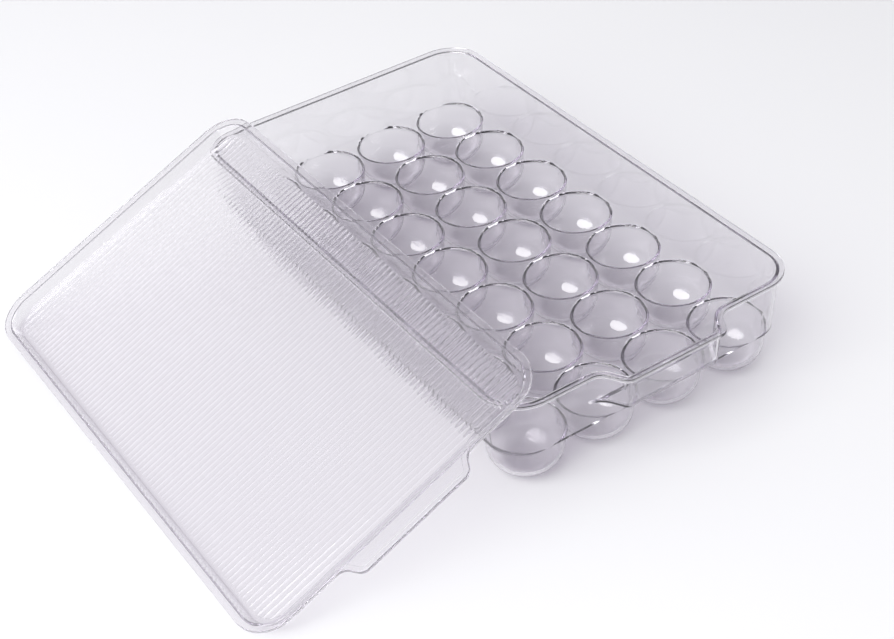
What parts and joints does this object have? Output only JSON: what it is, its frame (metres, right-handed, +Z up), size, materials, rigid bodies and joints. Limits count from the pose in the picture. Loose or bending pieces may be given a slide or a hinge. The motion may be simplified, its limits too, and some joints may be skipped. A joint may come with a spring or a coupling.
{
  "type": "egg tray with lid",
  "caption": "Clear lidded refrigerator egg tray: round egg cups in a walled tray with a front finger handle, and a loose ribbed lid leaning on its rim.",
  "frame": {"origin": "on the table, in the middle of the footprint of the tray and its leaning lid together, level with the feet of the cups", "axes": "+X to the tray's right seen from its handle side, +Y to the back (the handle is at -Y), +Z up"},
  "size_m": [0.3816, 0.376, 0.0911],
  "materials": {
    "tray_plastic": "clear polished moulded plastic, faint cool tint",
    "lid_plastic": "clear polished moulded plastic with fine moulded ribs"
  },
  "bodies": {
    "tray": {"egg_tray": "tray_plastic"},
    "lid": {"lid": "lid_plastic"}
  },
  "joints": [
    {"name": "lid_slide", "type": "slide", "parent": "tray", "child": "lid", "axis": [0.9135, 0, 0.4067], "range_m": [0, 0.165]}
  ]
}
